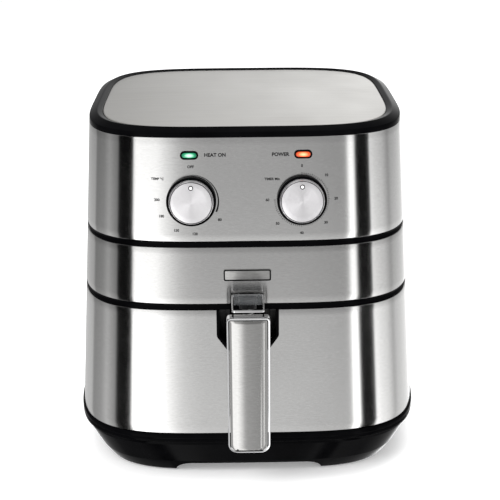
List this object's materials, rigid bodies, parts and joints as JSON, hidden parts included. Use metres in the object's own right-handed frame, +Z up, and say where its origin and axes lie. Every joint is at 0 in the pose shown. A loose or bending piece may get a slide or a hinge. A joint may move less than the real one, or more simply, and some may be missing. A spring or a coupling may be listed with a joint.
{
  "type": "air fryer",
  "caption": "Countertop air fryer with brushed steel bands, two front dials, and a pull-out pan and basket with a vertical handle.",
  "frame": {"origin": "centre of the object's box on the plane its rubber feet stand on", "axes": "+Z up, -Y out of the front, where the handle and the dials are, +X to the right seen from the front"},
  "size_m": [0.3146, 0.3574, 0.3214],
  "materials": {
    "brushed_steel": "horizontally brushed",
    "top_steel": "satin brushed",
    "black_gloss": "gloss black moulding",
    "black_satin": "satin black moulding",
    "carcass": "fine moulded grain",
    "chrome": "polished",
    "knob_silver": "pearl silver",
    "lens_green": "clear green, unlit",
    "lens_orange": "clear orange-red, lit",
    "clear_guard": "clear moulded plastic",
    "nonstick": "dark non-stick coating",
    "zinc_sheet": "plated sheet",
    "steel_bright": "bright steel",
    "element": "oxidised tube",
    "control_body": "cream moulding",
    "copper": "copper",
    "rubber": "moulded rubber",
    "fan_black": "glass-filled nylon",
    "lamp_glass": "clear glass neon"
  },
  "bodies": {
    "housing": {"base_tray": "black_gloss", "foot_pads": "rubber", "lower_housing": "carcass", "lower_wrap": "brushed_steel", "low_groove_ring": "black_gloss", "middle_housing": "carcass", "middle_band": "brushed_steel", "high_groove_ring": "black_gloss", "panel_housing": "carcass", "panel_band": "brushed_steel", "top_rim": "black_gloss", "top_plate": "top_steel", "badge": "brushed_steel", "rear_cover": "black_satin", "case_screws": "steel_bright", "cord_gland": "black_satin", "cavity_liner": "zinc_sheet", "slide_rails": "zinc_sheet", "chassis_deck": "zinc_sheet", "heater_dome": "zinc_sheet", "heating_element": "element", "element_clips": "zinc_sheet", "splash_guard": "steel_bright", "exhaust_duct": "zinc_sheet", "heat_shield": "zinc_sheet", "shield_spacers": "steel_bright", "motor_can": "zinc_sheet", "motor_bearings": "steel_bright", "motor_bracket": "zinc_sheet", "thermostat": "control_body", "sensor_bulb": "copper", "timer": "control_body", "timer_bell": "steel_bright", "lamp_bezels": "chrome", "heat_lamp_lens": "lens_green", "power_lamp_lens": "lens_orange", "neon_lamps": "lamp_glass", "drawer_switch": "black_satin", "terminal_block": "control_body"},
    "drawer": {"drawer_skin": "brushed_steel", "drawer_frame": "black_gloss", "pan": "nonstick", "basket": "nonstick", "handle_core": "black_gloss", "handle_face": "brushed_steel", "handle_trim": "chrome", "handle_screws": "steel_bright", "guard_bezel": "chrome", "button_spring": "steel_bright"},
    "release_button": {"release_button": "black_satin"},
    "latch": {"latch_lever": "zinc_sheet"},
    "guard": {"button_guard": "clear_guard"},
    "temperature_dial": {"temperature_knob": "knob_silver", "temperature_spindle": "steel_bright"},
    "timer_dial": {"timer_knob": "knob_silver", "timer_spindle": "steel_bright"},
    "fan_rotor": {"motor_shaft": "steel_bright", "convection_fan": "zinc_sheet", "fan_nut": "steel_bright", "cooling_fan": "fan_black"}
  },
  "joints": [
    {"name": "drawer_slide", "type": "slide", "parent": "housing", "child": "drawer", "axis": [0, -1, 0], "range_m": [0, 0.26]},
    {"name": "button_press", "type": "slide", "parent": "drawer", "child": "release_button", "axis": [0, 0, -1], "range_m": [0, 0.003], "stiffness_N_per_m": 600, "springref_m": -0.002, "deforming": ["button_spring"]},
    {"name": "latch_turn", "type": "hinge", "parent": "drawer", "child": "latch", "pos_m": [0, -0.12135, 0.1505], "axis": [1, 0, 0], "range_deg": [0, 9]},
    {"name": "guard_slide", "type": "slide", "parent": "drawer", "child": "guard", "axis": [0, -1, 0], "range_m": [0, 0.014]},
    {"name": "temperature_turn", "type": "hinge", "parent": "housing", "child": "temperature_dial", "pos_m": [-0.0465, -0.12448, 0.259], "axis": [0, 0.9981, -0.062], "range_deg": [0, 270]},
    {"name": "timer_turn", "type": "hinge", "parent": "housing", "child": "timer_dial", "pos_m": [0.0465, -0.12448, 0.259], "axis": [0, 0.9981, -0.062], "range_deg": [0, 270]},
    {"name": "fan_spin", "type": "hinge", "parent": "housing", "child": "fan_rotor", "pos_m": [0, 0.01367, 0.1955], "axis": [0, 0, 1], "continuous": true}
  ],
  "couplings": [
    {"joint": "latch_turn", "follows": "button_press", "rad_per_m": 46.551}
  ]
}
